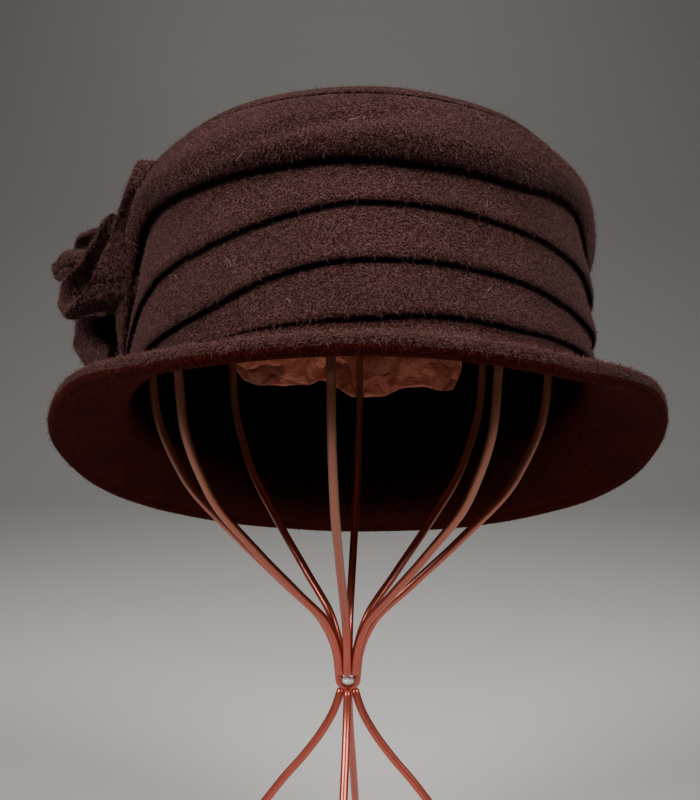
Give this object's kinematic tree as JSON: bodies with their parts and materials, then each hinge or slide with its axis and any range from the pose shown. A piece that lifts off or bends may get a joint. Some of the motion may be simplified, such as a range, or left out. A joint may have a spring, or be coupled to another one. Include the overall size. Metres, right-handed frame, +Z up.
{
  "type": "cloche hat on a wire stand",
  "caption": "Draped felt cloche hat with overlapping folds, a rolled crown and a felt rose, tilted back on a bowed wire hat stand.",
  "frame": {"origin": "on the floor, under the middle of the part's box", "axes": "+X to the right seen from the front, +Y to the back, +Z up"},
  "size_m": [0.2534, 0.2612, 0.3583],
  "materials": {
    "felt": "matt boiled wool felt, dark brown",
    "paper": "crumpled matt paper, brownish pink",
    "copper_wire": "satin copper plate"
  },
  "bodies": {
    "root": {"crown_side": "felt", "crown_tip": "felt", "brim": "felt", "rose_bud": "felt", "rose_petal_front": "felt", "rose_petal_inner": "felt", "rose_petal_upper": "felt", "rose_petal_back": "felt", "rose_petal_lower": "felt", "packing_paper": "paper", "wire_stand": "copper_wire"}
  },
  "joints": []
}
